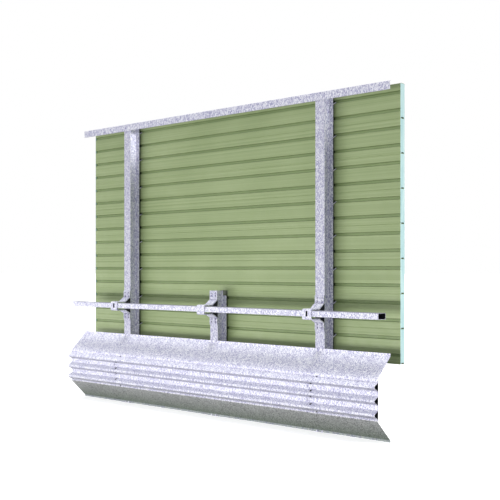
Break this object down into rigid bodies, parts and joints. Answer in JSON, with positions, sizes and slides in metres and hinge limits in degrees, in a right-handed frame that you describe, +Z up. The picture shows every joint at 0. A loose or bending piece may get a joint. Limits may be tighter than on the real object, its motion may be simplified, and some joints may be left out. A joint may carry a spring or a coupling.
{
  "type": "noise barrier section with guard rail",
  "caption": "Roadside noise barrier section: stacked grooved acoustic panels on galvanised posts, with a wave-profile guard rail and a tube rail on the traffic side.",
  "frame": {"origin": "on the ground under the middle post, at the centre of its section, in the foot plate's lower face", "axes": "+X along the barrier, to the right as seen from the traffic, +Y away from the traffic, +Z up"},
  "size_m": [7.03, 0.7416, 5.086],
  "materials": {
    "zinc": "hot-dip galvanised, fine spangle, satin",
    "splash_zinc": "galvanised, dull and soiled by spray from the road",
    "sleeve_steel": "dark bitumen-coated steel",
    "panel_green": "powder-coated sage green, satin",
    "panel_end": "pale blue-green end caps, satin"
  },
  "bodies": {
    "root": {"left_post": "zinc", "middle_post": "zinc", "right_post": "zinc", "top_rail": "zinc", "left_rail_tube": "zinc", "middle_rail_tube": "zinc", "right_rail_tube": "zinc", "left_tube_bracket": "zinc", "middle_tube_bracket": "zinc", "right_tube_bracket": "zinc", "left_wave_beam": "zinc", "middle_wave_beam": "zinc", "right_wave_beam": "zinc", "left_upper_plate": "zinc", "middle_upper_plate": "zinc", "right_upper_plate": "zinc", "left_beam_spacer": "zinc", "middle_beam_spacer": "zinc", "right_beam_spacer": "zinc", "left_panel_channel": "zinc", "right_panel_channel": "zinc", "left_panel_shelf": "zinc", "right_panel_shelf": "zinc", "left_panel_hooks": "zinc", "right_panel_hooks": "zinc", "left_lower_plate": "splash_zinc", "middle_lower_plate": "splash_zinc", "right_lower_plate": "splash_zinc", "left_rail_sleeve": "sleeve_steel", "right_rail_sleeve": "sleeve_steel", "left_beam_backing": "sleeve_steel", "middle_beam_backing": "sleeve_steel", "right_beam_backing": "sleeve_steel", "noise_panel_1": "panel_green", "noise_panel_2": "panel_green", "noise_panel_3": "panel_green", "noise_panel_4": "panel_green", "noise_panel_5": "panel_green", "noise_panel_6": "panel_green", "noise_panel_7": "panel_green", "noise_panel_8": "panel_green", "left_panel_caps": "panel_end", "right_panel_caps": "panel_end"}
  },
  "joints": []
}
